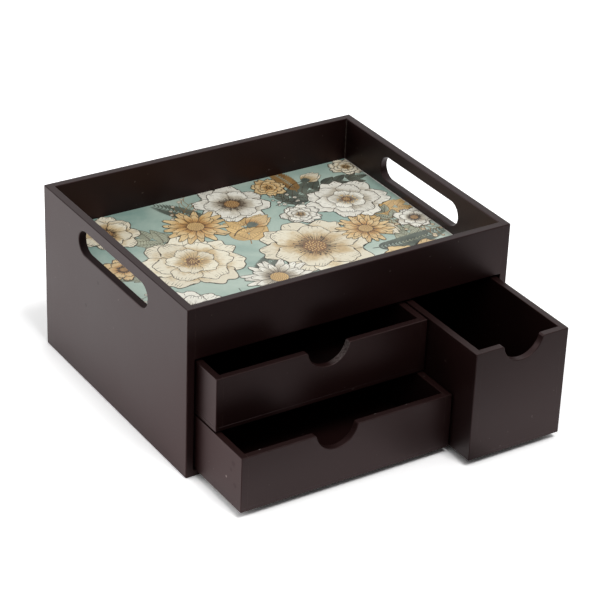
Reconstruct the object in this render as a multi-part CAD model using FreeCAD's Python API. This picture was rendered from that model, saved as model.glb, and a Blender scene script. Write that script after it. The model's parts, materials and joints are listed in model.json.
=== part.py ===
import FreeCAD, Part
import math
import os

# Desk organizer: a fixed tray with two hand slots over three loose drawers, made of painted fibreboard.
# Millimetres. X runs across the front, Y to the back, Z up. The origin is the middle of the case's underside.
# The drawers are drawn as far out as they stand at rest: each has its own pull below.

# Case, outside
case_width = 300.0
case_depth = 240.0
case_height = 150.0

# Boards of the case
wall_board = 7.0
floor_board = 5.5
tray_depth = 39.1
print_sheet = 0.3
print_margin = 0.2

# Hand slots through the two side panels
slot_length = 115.0
slot_height = 22.0
slot_above_floor = 6.4

# Thin sheets that part the drawers, held in saw kerfs
thin_sheet = 1.0
lower_bay_height = 49.6
right_bay_width = 90.9
kerf_depth = 2.0
kerf_gap = 0.05
tab_length = 20.0
tab_pitch = 80.0
tab_steps = (-1, 0, 1)

# Drawer boards and the room around each drawer
drawer_board = 6.0
drawer_base = 3.5
wall_gap = 1.5
sheet_gap = 0.4
run_gap = 0.4
shelf_gap = 0.4
rail_gap = 2.5
stop_gap = 1.0

# How far each drawer is pulled out at rest
upper_pull = 30.0
lower_pull = 69.0
tall_pull = 94.0

# Finger notches in the drawer fronts: width at the rim, depth, and shift from the middle of each front
notch_width = 37.5
notch_depth = 16.4
notch_lip = 2.0
upper_notch_shift = 4.0
lower_notch_shift = -11.0
tall_notch_shift = 0.5

# Eased edges
case_ease = 0.8
slot_ease = 1.0
drawer_ease = 0.6

# Headless brads: each is set below the surface that it was driven through
brad_diameter = 1.2
brad_set = 1.0
brad_grip = 0.05
case_brad_length = 19.0
drawer_brad_length = 14.0
floor_brad_pitch = 80.0
rail_brad_count = 2
back_brad_count = 4
small_corner_brads = 2
tall_corner_brads = 3
base_side_brads = 3
base_end_brads = 2

# Levels and faces that follow from the sizes above
front_y = -case_depth / 2
back_y = case_depth / 2
inner_x = case_width / 2 - wall_board
inner_front_y = front_y + wall_board
inner_back_y = back_y - wall_board
tray_top_z = case_height - tray_depth
rail_bottom_z = tray_top_z - floor_board
shelf_bottom_z = floor_board + lower_bay_height
shelf_top_z = shelf_bottom_z + thin_sheet
divider_right_x = inner_x - right_bay_width
divider_left_x = divider_right_x - thin_sheet
drawer_length = inner_back_y - front_y - stop_gap
slot_bottom_z = tray_top_z + slot_above_floor
slot_top_z = slot_bottom_z + slot_height

X_AXIS = FreeCAD.Vector(1, 0, 0)
Y_AXIS = FreeCAD.Vector(0, 1, 0)
Z_AXIS = FreeCAD.Vector(0, 0, 1)

# Edges are picked out by where they lie, to within this much
place_tolerance = 0.001


def box(x0, x1, y0, y1, z0, z1):
    """A box between two corners."""
    return Part.makeBox(x1 - x0, y1 - y0, z1 - z0, FreeCAD.Vector(x0, y0, z0))


def near(a, b):
    return abs(a - b) < place_tolerance


def between(low, value, high):
    return low - place_tolerance < value < high + place_tolerance


def edges_in_plane(shape, axis, value):
    """Edges that lie wholly in the plane where the axis (0, 1 or 2) has this value."""
    found = []
    for edge in shape.Edges:
        bounds = edge.BoundBox
        low = (bounds.XMin, bounds.YMin, bounds.ZMin)[axis]
        high = (bounds.XMax, bounds.YMax, bounds.ZMax)[axis]
        if near(low, value) and near(high, value):
            found.append(edge)
    return found


def save(name, shape):
    shape.exportStep("parts/" + name + ".step")


def spread(low, high, count):
    """Evenly spaced places between low and high, with half a step left over at each end."""
    step = (high - low) / count
    return [low + step * (i + 0.5) for i in range(count)]


# Brads

def brad(start, axis, length, extra=0.0):
    """A brad from its set end along an axis; with extra, the bore that it leaves in the boards."""
    begin = start - axis * extra
    return Part.makeCylinder(brad_diameter / 2 + extra, length + 2 * extra, begin, axis)


def brad_solids(places, length):
    return Part.makeCompound([brad(start, axis, length) for start, axis in places])


def drilled(board, places, length):
    """The board with the bore of every brad that enters it."""
    for start, axis in places:
        bore = brad(start, axis, length, brad_grip)
        if board.BoundBox.intersect(bore.BoundBox):
            board = board.cut(bore)
    return board


def case_brad_places():
    """Brads driven through the side panels into the rail, back panel, bottom panel and tray floor."""
    places = []
    rail_y = front_y + wall_board / 2
    back_mid_y = back_y - wall_board / 2
    ends = [(rail_y, z) for z in spread(rail_bottom_z, case_height, rail_brad_count)]
    ends += [(back_mid_y, z) for z in spread(0, case_height, back_brad_count)]
    for step in tab_steps:
        ends.append((step * floor_brad_pitch, floor_board / 2))
        ends.append((step * floor_brad_pitch, tray_top_z - floor_board / 2))
    set_x = case_width / 2 - brad_set
    for y, z in ends:
        places.append((FreeCAD.Vector(-set_x, y, z), X_AXIS))
        places.append((FreeCAD.Vector(set_x, y, z), -X_AXIS))
    return places


# Case

def case_envelope():
    """The outer shape of the case with its tray and drawer opening, every outside edge eased."""
    outer = box(-case_width / 2, case_width / 2, front_y, back_y, 0, case_height)
    outer = outer.makeFillet(case_ease, outer.Edges)
    tray = box(-inner_x, inner_x, inner_front_y, inner_back_y, tray_top_z, case_height + wall_board)
    bay = box(-inner_x, inner_x, front_y - wall_board, inner_back_y, floor_board, rail_bottom_z)
    body = outer.cut(tray).cut(bay)
    rim_edges = []
    for edge in edges_in_plane(body, 2, case_height):
        middle = edge.BoundBox.Center
        if between(-inner_x, middle.x, inner_x) and between(inner_front_y, middle.y, inner_back_y):
            rim_edges.append(edge)
    bay_edges = []
    for edge in edges_in_plane(body, 1, front_y):
        middle = edge.BoundBox.Center
        if between(-inner_x, middle.x, inner_x) and between(floor_board, middle.z, rail_bottom_z):
            bay_edges.append(edge)
    return body.makeFillet(case_ease, rim_edges + bay_edges)


def hand_slot(side):
    """The long hole with round ends through one side panel, and its eased mouths."""
    straight = slot_length / 2 - slot_height / 2
    middle_z = (slot_bottom_z + slot_top_z) / 2
    x0 = min(side * inner_x, side * case_width / 2)
    corners = [FreeCAD.Vector(x0, -straight, slot_bottom_z), FreeCAD.Vector(x0, straight, slot_bottom_z)]
    corners += [FreeCAD.Vector(x0, straight, slot_top_z), FreeCAD.Vector(x0, -straight, slot_top_z)]
    back_end = FreeCAD.Vector(x0, slot_length / 2, middle_z)
    front_end = FreeCAD.Vector(x0, -slot_length / 2, middle_z)
    edges = [Part.LineSegment(corners[0], corners[1]).toShape()]
    edges.append(Part.Arc(corners[1], back_end, corners[2]).toShape())
    edges.append(Part.LineSegment(corners[2], corners[3]).toShape())
    edges.append(Part.Arc(corners[3], front_end, corners[0]).toShape())
    return Part.Face(Part.Wire(edges)).extrude(X_AXIS * wall_board)


def shelf_blank(gap):
    """The shelf without its tabs; with a gap, the kerf that it sits in."""
    left = -inner_x - kerf_depth - gap
    back = inner_back_y + kerf_depth + gap
    return box(left, divider_left_x, inner_front_y - gap, back, shelf_bottom_z - gap, shelf_top_z + gap)


def shelf_tabs(gap):
    """The tabs on the shelf's right edge; with a gap, the slots in the divider that take them."""
    tabs = []
    for step in tab_steps:
        y0 = step * tab_pitch - tab_length / 2 - gap
        y1 = step * tab_pitch + tab_length / 2 + gap
        tabs.append(box(divider_left_x, divider_right_x, y0, y1, shelf_bottom_z - gap, shelf_top_z + gap))
    return tabs


def divider_blank(gap):
    """The upright divider without its slots; with a gap, the kerf that it sits in."""
    back = inner_back_y + kerf_depth + gap
    low = floor_board - kerf_depth - gap
    high = rail_bottom_z + kerf_depth + gap
    return box(divider_left_x - gap, divider_right_x + gap, inner_front_y - gap, back, low, high)


def side_panel(side, envelope):
    """One side of the case, from front to back and top to bottom, with its hand slot."""
    x0 = min(side * inner_x, side * case_width / 2)
    x1 = max(side * inner_x, side * case_width / 2)
    panel = box(x0, x1, front_y, back_y, 0, case_height).common(envelope)
    panel = panel.cut(hand_slot(side))
    mouths = []
    for edge in edges_in_plane(panel, 0, x0) + edges_in_plane(panel, 0, x1):
        middle = edge.BoundBox.Center
        inside_length = between(-slot_length / 2, middle.y, slot_length / 2)
        if inside_length and between(slot_bottom_z, middle.z, slot_top_z):
            mouths.append(edge)
    return panel.makeFillet(slot_ease, mouths)


def build_case():
    envelope = case_envelope()
    places = case_brad_places()
    shelf_kerf = shelf_blank(kerf_gap)
    divider_kerf = divider_blank(kerf_gap)

    def finished(board):
        return drilled(board, places, case_brad_length)

    left = side_panel(-1, envelope).cut(shelf_kerf)
    save("left_side_panel", finished(left))
    save("right_side_panel", finished(side_panel(1, envelope)))
    rail = box(-inner_x, inner_x, front_y, inner_front_y, rail_bottom_z, case_height)
    save("front_rail", finished(rail.common(envelope)))
    back = box(-inner_x, inner_x, inner_back_y, back_y, 0, case_height).common(envelope)
    save("back_panel", finished(back.cut(shelf_kerf).cut(divider_kerf)))
    bottom = box(-inner_x, inner_x, front_y, inner_back_y, 0, floor_board).common(envelope)
    save("bottom_panel", finished(bottom.cut(divider_kerf)))
    floor = box(-inner_x, inner_x, inner_front_y, inner_back_y, rail_bottom_z, tray_top_z)
    save("tray_floor", finished(floor.cut(divider_kerf)))
    save("case_brads", brad_solids(places, case_brad_length))

    sheet_x = inner_x - print_margin
    sheet_y0 = inner_front_y + print_margin
    sheet_y1 = inner_back_y - print_margin
    save("tray_print", box(-sheet_x, sheet_x, sheet_y0, sheet_y1, tray_top_z, tray_top_z + print_sheet))

    shelf = shelf_blank(0)
    for tab in shelf_tabs(0):
        shelf = shelf.fuse(tab)
    save("drawer_shelf", shelf.removeSplitter())
    divider = divider_blank(0)
    for slot in shelf_tabs(kerf_gap):
        divider = divider.cut(slot)
    save("drawer_divider", divider)


# Drawers

def notched_front(x0, x1, y0, z0, z1, notch_x):
    """A front board whose top edge dips in a round finger notch with softened lips."""
    half = notch_width / 2
    radius = (half * half + notch_depth * notch_depth) / (2 * notch_depth)
    centre_z = z1 - notch_depth + radius
    # Each lip is a small arc that touches both the rim and the big arc.
    lip_reach = math.sqrt((radius + notch_lip) ** 2 - (centre_z - z1 + notch_lip) ** 2)
    lip_centre_z = z1 - notch_lip

    def touch(sign):
        """Where the lip arc meets the big arc, and a point half way round the lip arc."""
        centre = FreeCAD.Vector(notch_x + sign * lip_reach, y0, lip_centre_z)
        to_big = FreeCAD.Vector(notch_x, y0, centre_z) - centre
        to_big.normalize()
        join = centre + to_big * notch_lip
        half_way = to_big + Z_AXIS
        half_way.normalize()
        return join, centre + half_way * notch_lip

    left_join, left_mid = touch(-1)
    right_join, right_mid = touch(1)
    bottom_point = FreeCAD.Vector(notch_x, y0, z1 - notch_depth)
    left_top = FreeCAD.Vector(notch_x - lip_reach, y0, z1)
    right_top = FreeCAD.Vector(notch_x + lip_reach, y0, z1)
    corners = [FreeCAD.Vector(x, y0, z) for x, z in ((x0, z1), (x0, z0), (x1, z0), (x1, z1))]
    edges = [Part.LineSegment(left_top, corners[0]).toShape()]
    for i in range(3):
        edges.append(Part.LineSegment(corners[i], corners[i + 1]).toShape())
    edges.append(Part.LineSegment(corners[3], right_top).toShape())
    edges.append(Part.Arc(right_top, right_mid, right_join).toShape())
    edges.append(Part.Arc(right_join, bottom_point, left_join).toShape())
    edges.append(Part.Arc(left_join, left_mid, left_top).toShape())
    board = Part.Face(Part.Wire(edges)).extrude(Y_AXIS * drawer_board)
    rims = []
    for edge in edges_in_plane(board, 1, y0) + edges_in_plane(board, 1, y0 + drawer_board):
        bounds = edge.BoundBox
        upright = near(bounds.XMin, bounds.XMax)
        if bounds.ZMin > z1 - notch_depth - place_tolerance and not upright:
            rims.append(edge)
    return board.makeFillet(drawer_ease, rims)


def drawer_envelope(x0, x1, y0, y1, z0, z1):
    """The outer shape of a drawer, open at the top, with its outside and rim edges eased."""
    outer = box(x0, x1, y0, y1, z0, z1)
    outer = outer.makeFillet(drawer_ease, outer.Edges)
    cavity = box(x0 + drawer_board, x1 - drawer_board, y0 + drawer_board, y1 - drawer_board,
                 z0 + drawer_base, z1 + drawer_board)
    body = outer.cut(cavity)
    rims = []
    for edge in edges_in_plane(body, 2, z1):
        middle = edge.BoundBox.Center
        inside_x = between(x0 + drawer_board, middle.x, x1 - drawer_board)
        inside_y = between(y0 + drawer_board, middle.y, y1 - drawer_board)
        if inside_x and inside_y:
            rims.append(edge)
    return body.makeFillet(drawer_ease, rims)


def drawer_brad_places(x0, x1, y0, y1, z0, z1, corner_brads):
    """Brads through the sides into the front and back, and up through the base into every board."""
    places = []
    middles = (y0 + drawer_board / 2, y1 - drawer_board / 2)
    for z in spread(z0 + drawer_base, z1, corner_brads):
        for y in middles:
            places.append((FreeCAD.Vector(x0 + brad_set, y, z), X_AXIS))
            places.append((FreeCAD.Vector(x1 - brad_set, y, z), -X_AXIS))
    for y in spread(y0, y1, base_side_brads):
        for x in (x0 + drawer_board / 2, x1 - drawer_board / 2):
            places.append((FreeCAD.Vector(x, y, z0 + brad_set), Z_AXIS))
    for x in spread(x0, x1, base_end_brads):
        for y in middles:
            places.append((FreeCAD.Vector(x, y, z0 + brad_set), Z_AXIS))
    return places


def build_drawer(name, x0, x1, z0, z1, pull, notch_shift, corner_brads):
    """One drawer: sides from end to end, front and back between them, and a base under all four."""
    y0 = front_y - pull
    y1 = y0 + drawer_length
    base_z = z0 + drawer_base
    envelope = drawer_envelope(x0, x1, y0, y1, z0, z1)
    places = drawer_brad_places(x0, x1, y0, y1, z0, z1, corner_brads)
    left_x = x0 + drawer_board
    right_x = x1 - drawer_board
    notch_x = (x0 + x1) / 2 + notch_shift
    pieces = {
        "front": notched_front(left_x, right_x, y0, base_z, z1, notch_x),
        "back": box(left_x, right_x, y1 - drawer_board, y1, base_z, z1).common(envelope),
        "left_side": box(x0, left_x, y0, y1, base_z, z1).common(envelope),
        "right_side": box(right_x, x1, y0, y1, base_z, z1).common(envelope),
        "base": box(x0, x1, y0, y1, z0, base_z).common(envelope),
    }
    for piece, board in pieces.items():
        save(name + "_" + piece, drilled(board, places, drawer_brad_length))
    save(name + "_brads", brad_solids(places, drawer_brad_length))


def build_drawers():
    left_x = -inner_x + wall_gap
    left_end_x = divider_left_x - sheet_gap
    right_x = divider_right_x + sheet_gap
    right_end_x = inner_x - wall_gap
    low_z = floor_board + run_gap
    top_z = rail_bottom_z - rail_gap
    build_drawer("upper_drawer", left_x, left_end_x, shelf_top_z + run_gap, top_z,
                 upper_pull, upper_notch_shift, small_corner_brads)
    build_drawer("lower_drawer", left_x, left_end_x, low_z, shelf_bottom_z - shelf_gap,
                 lower_pull, lower_notch_shift, small_corner_brads)
    build_drawer("tall_drawer", right_x, right_end_x, low_z, top_z,
                 tall_pull, tall_notch_shift, tall_corner_brads)


os.makedirs("parts", exist_ok=True)
build_case()
build_drawers()
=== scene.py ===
import json
import math
import random

import bmesh
import bpy
from mathutils import Matrix, Vector


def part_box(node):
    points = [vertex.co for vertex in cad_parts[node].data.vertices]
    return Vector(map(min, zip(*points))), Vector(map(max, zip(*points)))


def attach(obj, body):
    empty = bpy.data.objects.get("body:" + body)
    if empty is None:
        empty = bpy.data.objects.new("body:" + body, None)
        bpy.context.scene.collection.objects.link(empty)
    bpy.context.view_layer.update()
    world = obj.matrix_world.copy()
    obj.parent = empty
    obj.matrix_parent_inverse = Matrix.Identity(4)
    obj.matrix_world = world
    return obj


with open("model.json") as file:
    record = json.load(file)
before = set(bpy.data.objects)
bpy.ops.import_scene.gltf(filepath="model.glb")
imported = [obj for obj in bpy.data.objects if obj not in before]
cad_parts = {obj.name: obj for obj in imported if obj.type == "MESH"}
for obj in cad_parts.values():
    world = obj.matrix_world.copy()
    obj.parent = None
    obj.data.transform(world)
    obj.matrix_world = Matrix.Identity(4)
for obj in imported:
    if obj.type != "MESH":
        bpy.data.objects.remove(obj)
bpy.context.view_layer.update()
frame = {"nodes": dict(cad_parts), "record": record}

scene = bpy.context.scene
scene.view_settings.view_transform = "Standard"
MM = 0.001


# Camera, fitted to the corners of the case in the photograph

PHOTO_WIDTH = 600.0
FOCAL_PIXELS = 2280.168
SENSOR = 36.0
CAMERA_AZIMUTH = -33.059
CAMERA_ELEVATION = 29.131
CAMERA_ROLL = 2.230
CAMERA_DISTANCE = 1.905254
CAMERA_TARGET = (0.020756, -0.010652, 0.060)
CLIP_END = 50.0


def direction(azimuth, elevation):
    """The unit vector from the object to a place round it. Azimuth 0 is in front, 90 to the right."""
    a, e = math.radians(azimuth), math.radians(elevation)
    return Vector((math.sin(a) * math.cos(e), -math.cos(a) * math.cos(e), math.sin(e)))


def make_camera():
    back = direction(CAMERA_AZIMUTH, CAMERA_ELEVATION)
    level_right = Vector((0, 0, 1)).cross(back).normalized()
    level_up = back.cross(level_right)
    roll = math.radians(CAMERA_ROLL)
    right = level_right * math.cos(roll) + level_up * math.sin(roll)
    up = back.cross(right)
    data = bpy.data.cameras.new("camera")
    data.sensor_width = SENSOR
    data.lens = SENSOR * FOCAL_PIXELS / PHOTO_WIDTH
    data.clip_end = CLIP_END
    camera = bpy.data.objects.new("camera", data)
    turn = Matrix((right, up, back)).transposed().to_4x4()
    camera.matrix_world = Matrix.Translation(Vector(CAMERA_TARGET) + back * CAMERA_DISTANCE) @ turn
    scene.collection.objects.link(camera)
    scene.camera = camera


# Shader helpers

EDGE_SAMPLES = 6
EDGE_TURN = (0.995, 0.90)


class Shader:
    """The node tree of a new material, or of a world, with short calls for the nodes used here."""

    def __init__(self, name, world=None):
        self.owner = world or bpy.data.materials.new(name)
        self.owner.use_nodes = True
        self.tree = self.owner.node_tree
        self.tree.nodes.clear()
        self.output = self.node("OutputWorld" if world else "OutputMaterial")

    def node(self, kind, settings=None, **values):
        made = self.tree.nodes.new("ShaderNode" + kind)
        for key, value in (settings or {}).items():
            setattr(made, key, value)
        for key, value in values.items():
            self.set(made.inputs[key.replace("_", " ")], value)
        return made

    def set(self, socket, value):
        if isinstance(value, bpy.types.NodeSocket):
            self.tree.links.new(value, socket)
        elif isinstance(value, tuple) and len(value) == 3 and socket.type == "RGBA":
            socket.default_value = (*value, 1)
        else:
            socket.default_value = value

    def math(self, operation, *values):
        made = self.tree.nodes.new("ShaderNodeMath")
        made.operation = operation
        for socket, value in zip(made.inputs, values):
            self.set(socket, value)
        return made.outputs[0]

    def place(self):
        return self.node("TexCoord").outputs["Object"]

    def coordinates(self):
        return self.node("SeparateXYZ", Vector=self.place()).outputs

    def facing(self, axis):
        """One coordinate of the direction that the surface faces."""
        return self.node("SeparateXYZ", Vector=self.node("NewGeometry").outputs["Normal"]).outputs[axis]

    def away_from(self, point):
        """The distance to a point of the object's own space."""
        made = self.node("VectorMath", {"operation": "DISTANCE"})
        self.set(made.inputs[0], self.place())
        made.inputs[1].default_value = point
        return made.outputs["Value"]

    def camera_ray(self):
        return self.node("LightPath").outputs["Is Camera Ray"]

    def noise(self, scale, detail=2.0, roughness=0.5, vector=None, distortion=0.0):
        made = self.node("TexNoise", Scale=scale, Detail=detail, Roughness=roughness, Distortion=distortion)
        self.set(made.inputs["Vector"], vector or self.place())
        return made.outputs["Fac"]

    def ramp(self, value, stops):
        """A ramp of colours or numbers. Each stop is (position, colour or number)."""
        made = self.node("ValToRGB", Fac=value)
        points = made.color_ramp.elements
        while len(points) < len(stops):
            points.new(0.5)
        for point, (position, colour) in zip(points, stops):
            point.position = position
            point.color = (*colour, 1) if isinstance(colour, tuple) else (colour, colour, colour, 1)
        return made.outputs["Color"]

    def remap(self, value, low, high, to_low=0.0, to_high=1.0):
        made = self.node("MapRange", Value=value)
        made.inputs["From Min"].default_value = low
        made.inputs["From Max"].default_value = high
        made.inputs["To Min"].default_value = to_low
        made.inputs["To Max"].default_value = to_high
        return made.outputs[0]

    def mix(self, factor, first, second, blend="MIX"):
        made = self.tree.nodes.new("ShaderNodeMix")
        made.data_type = "RGBA"
        made.blend_type = blend
        self.set(made.inputs[0], factor)
        self.set(made.inputs[6], first)
        self.set(made.inputs[7], second)
        return made.outputs[2]

    def bump(self, height, strength, distance, normal=None):
        made = self.node("Bump", Height=height, Strength=strength, Distance=distance)
        if normal is not None:
            self.set(made.inputs["Normal"], normal)
        return made.outputs[0]

    def edge_mask(self, radius):
        """1 on the arrises of a board and 0 on its faces."""
        rounded = self.node("Bevel", {"samples": EDGE_SAMPLES}, Radius=radius).outputs[0]
        flat = self.node("NewGeometry").outputs["Normal"]
        dot = self.node("VectorMath", {"operation": "DOT_PRODUCT"})
        self.set(dot.inputs[0], rounded)
        self.set(dot.inputs[1], flat)
        return self.remap(dot.outputs["Value"], *EDGE_TURN)

    def show(self, surface):
        """Ends the tree with a surface or a background, and returns what the tree belongs to."""
        self.tree.links.new(surface.outputs[0], self.output.inputs["Surface"])
        return self.owner

    def principled(self, **values):
        return self.show(self.node("BsdfPrincipled", **values))


# Studio: white surroundings, three broad lamps and a pale floor. The floor is white to the camera. Mirrored
# in the paint and in the light it throws back, it has painted shade in front and a painted shadow in the
# corner between the drawers, and it is warmer on the left.

WORLD_LIGHT = 0.50
ROOM_SHARE = 0.10
ROOM_LEAN = 1.1
ROOM_FADE = 0.5
FLOOR_SHADE = 0.45
FLOOR_WHITE = 1.38
FLOOR_MIRRORED = 1.62
FLOOR_SIZE = 6.0
FLOOR_GAP = 0.2 * MM
# Painted shade: for all rays but the camera's, the floor turns dark in front of the object.
FRONT_SHADE_START = -0.34
FRONT_SHADE_FADE = 0.10
FRONT_SHADE_SLANT = 0.20
FRONT_SHADE_SHARE = 0.15
# A painted shadow on the floor in the corner between the lower and the tall drawer.
FLOOR_SHADOW_SPOT = (0.046, -0.227, 0.0)
FLOOR_SHADOW_CORE = 0.012
FLOOR_SHADOW_REACH = 0.044
FLOOR_SHADOW_SHARE = 0.25
WARM_TINT = (0.79, 0.66, 0.66)
WARM_SIDE = -0.135
WARM_FADE = 0.02
WARM_BACK, WARM_FRONT = 0.10, -0.08
WARM_LEAST = 0.18
WHITE = (1.0, 1.0, 1.0)
LAMPS = {
    "key": {"azimuth": 8, "elevation": 62, "strength": 1.46, "spread": 18},
    "side": {"azimuth": -130, "elevation": 13, "strength": 1.36, "spread": 50},
    "fill": {"azimuth": -60, "elevation": 70, "strength": 0.4, "spread": 60},
}


def background_ray(s):
    """1 for rays that show the background: straight to the camera, mirrored or seen through glass."""
    path = s.node("LightPath").outputs
    seen = s.math("MAXIMUM", path["Is Camera Ray"], path["Is Glossy Ray"])
    return s.math("MAXIMUM", seen, path["Is Transmission Ray"])


def make_world():
    """A white room. As mirrored in the paint it gets darker towards the front."""
    s = Shader("studio", bpy.data.worlds.new("studio"))
    plain = s.remap(background_ray(s), 0, 1, WORLD_LIGHT, 1.0)
    towards = s.node("SeparateXYZ", Vector=s.node("TexCoord").outputs["Generated"]).outputs
    open_side = s.math("ADD", towards["Y"], s.math("MULTIPLY", towards["Z"], ROOM_LEAN))
    room = s.remap(open_side, -ROOM_FADE, ROOM_FADE, ROOM_SHARE, 1.0)
    strength = s.math("MULTIPLY", plain, s.math("MAXIMUM", room, s.camera_ray()))
    scene.world = s.show(s.node("Background", Color=WHITE, Strength=strength))


def make_lamp(name, azimuth, elevation, strength, spread):
    data = bpy.data.lights.new(name, "SUN")
    data.energy = strength
    data.angle = math.radians(spread)
    lamp = bpy.data.objects.new(name, data)
    lamp.rotation_mode = "QUATERNION"
    lamp.rotation_quaternion = (-direction(azimuth, elevation)).to_track_quat("-Z", "Y")
    scene.collection.objects.link(lamp)


def floor_paper():
    s = Shader("floor_paper")
    place = s.coordinates()
    seen = s.camera_ray()
    # Painted shade in front: the floor darkens towards the front for reflections and bounced light.
    inside = s.math("ADD", place["Y"], s.math("MULTIPLY", place["X"], FRONT_SHADE_SLANT))
    lit = s.remap(inside, FRONT_SHADE_START, FRONT_SHADE_START + FRONT_SHADE_FADE, FRONT_SHADE_SHARE, 1.0)
    # Painted shadow in the corner between the drawers, seen only in reflections and bounced light.
    corner = s.remap(s.away_from(FLOOR_SHADOW_SPOT), FLOOR_SHADOW_CORE, FLOOR_SHADOW_REACH, FLOOR_SHADOW_SHARE, 1.0)
    shade = s.remap(background_ray(s), 0, 1, FLOOR_SHADE, FLOOR_MIRRORED)
    shade = s.math("MULTIPLY", s.math("MULTIPLY", shade, lit), corner)
    shade = s.node("Mix", Factor=seen, A=shade, B=FLOOR_WHITE).outputs[0]
    leftwards = s.remap(place["X"], WARM_SIDE, WARM_SIDE - WARM_FADE)
    forwards = s.remap(place["Y"], WARM_BACK, WARM_FRONT, WARM_LEAST, 1.0)
    warm = s.math("MULTIPLY", s.math("MULTIPLY", leftwards, forwards), s.math("SUBTRACT", 1.0, seen))
    tint = s.mix(warm, WHITE, WARM_TINT)
    return s.show(s.node("BsdfDiffuse", Color=s.mix(1.0, tint, shade, "MULTIPLY")))


def make_floor():
    mesh = bpy.data.meshes.new("floor")
    grid = bmesh.new()
    bmesh.ops.create_grid(grid, x_segments=1, y_segments=1, size=FLOOR_SIZE)
    grid.to_mesh(mesh)
    grid.free()
    mesh.materials.append(floor_paper())
    floor = bpy.data.objects.new("floor", mesh)
    floor.location.z = -FLOOR_GAP
    scene.collection.objects.link(floor)


# Finish of the boards. A noise is (scale, detail, roughness). A fade says between which values of its input a
# mask runs from 0 to 1, or from its third value to its fourth where it has four.

PAINT_BASE = (0.0088, 0.0031, 0.0028)
PAINT_TINT = (1.0, 0.70, 0.71, 1.0)
PAINT_IOR = 1.37
PAINT_ROUGHNESS = 0.40
THIN_BOARD_ROUGHNESS = 0.55
UNDERSIDE_ROUGHNESS = 0.95
CUT_ROUGHNESS = 0.85
SPREAD = (0.3, 0.7)
LINE_CORE = 0.3
SPOT_CORE = 0.4
CLOUDS = (9.0, 4.0, 0.55)
CLOUD_DARK, CLOUD_LIGHT = 0.75, 1.35
CLOUD_GLOSS, GLOSS_SPREAD = 0.03, (0.25, 0.75)
FINE = (900.0, 2.0, 0.5)
FINE_GLOSS = 0.02
WAVES = (55.0, 2.0, 0.5)
WAVE_STRENGTH, WAVE_DEPTH = 0.06, 0.6 * MM
PEEL = (1400.0, 1.0, 0.4)
PEEL_STRENGTH, PEEL_DEPTH = 0.10, 0.05 * MM
GRAIN = (700.0, 3.0, 0.6)
SPECKS = (260.0, 1.0, 0.5)
SPECK_FADE = (0.77, 0.81)
SPECK_COLOUR, SPECK_SHARE = (0.16, 0.13, 0.12), 0.30
RUBBED = (120.0, 3.0, 0.6)
RUBBED_FADE = (0.42, 0.66)
RUBBED_REACH = 0.9 * MM
RUBBED_COLOUR, RUBBED_SHARE, RUBBED_ROUGH = (0.075, 0.052, 0.046), 0.40, 0.12
OPEN_JOINTS = 1.0
FILLED_JOINTS = 0.12
JOINT_HALF = 0.30 * MM
JOINT_BREAKS = (60.0, 2.0, 0.5)
JOINT_FADE = (0.35, 0.55, 0.25, 1.0)
JOINT_SHARE = 0.8
JOINT_DEPTH = 0.6
# Dark joints, and painted shade along an arris.
DARK_JOINT_AND_ARRIS_SHADE = (0.0015, 0.0010, 0.0010)
# Painted shade on the cut faces of the hand slot.
SLOT_SHADE_COLOUR, SLOT_SHADE_SHARE = (0.0030, 0.0018, 0.0016), 0.6
SLOT_ZONE_TOP = 145 * MM
SLOT_ZONE_HALF = 100 * MM
STAIN_COLOUR, STAIN_SHARE, STAIN_ROUGH = (0.004, 0.002, 0.002), 0.8, 0.16
STAIN_FADE = (0.35, 0.6, 0.3, 1.0)
# A line of painted shade along an arris.
ARRIS_HALF = 0.75 * MM
ARRIS_ROUGH = 0.4
ARRIS_BREAKS = (45.0, 2.0, 0.5)
ARRIS_FADE = (0.3, 0.5, 0.4, 1.0)
LIP_COLOUR, LIP_ROUGH = (0.105, 0.088, 0.084), 0.3
LIP_INNER, LIP_OUTER = 0.2, 0.9
LIP_START, LIP_FULL = 2.0 * MM, 11.0 * MM
LIP_FADE = (0.35, 0.62, 0.15, 1.0)
CHIP_COLOUR, CHIP_SHARE = (0.32, 0.29, 0.27), 0.85


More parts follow.
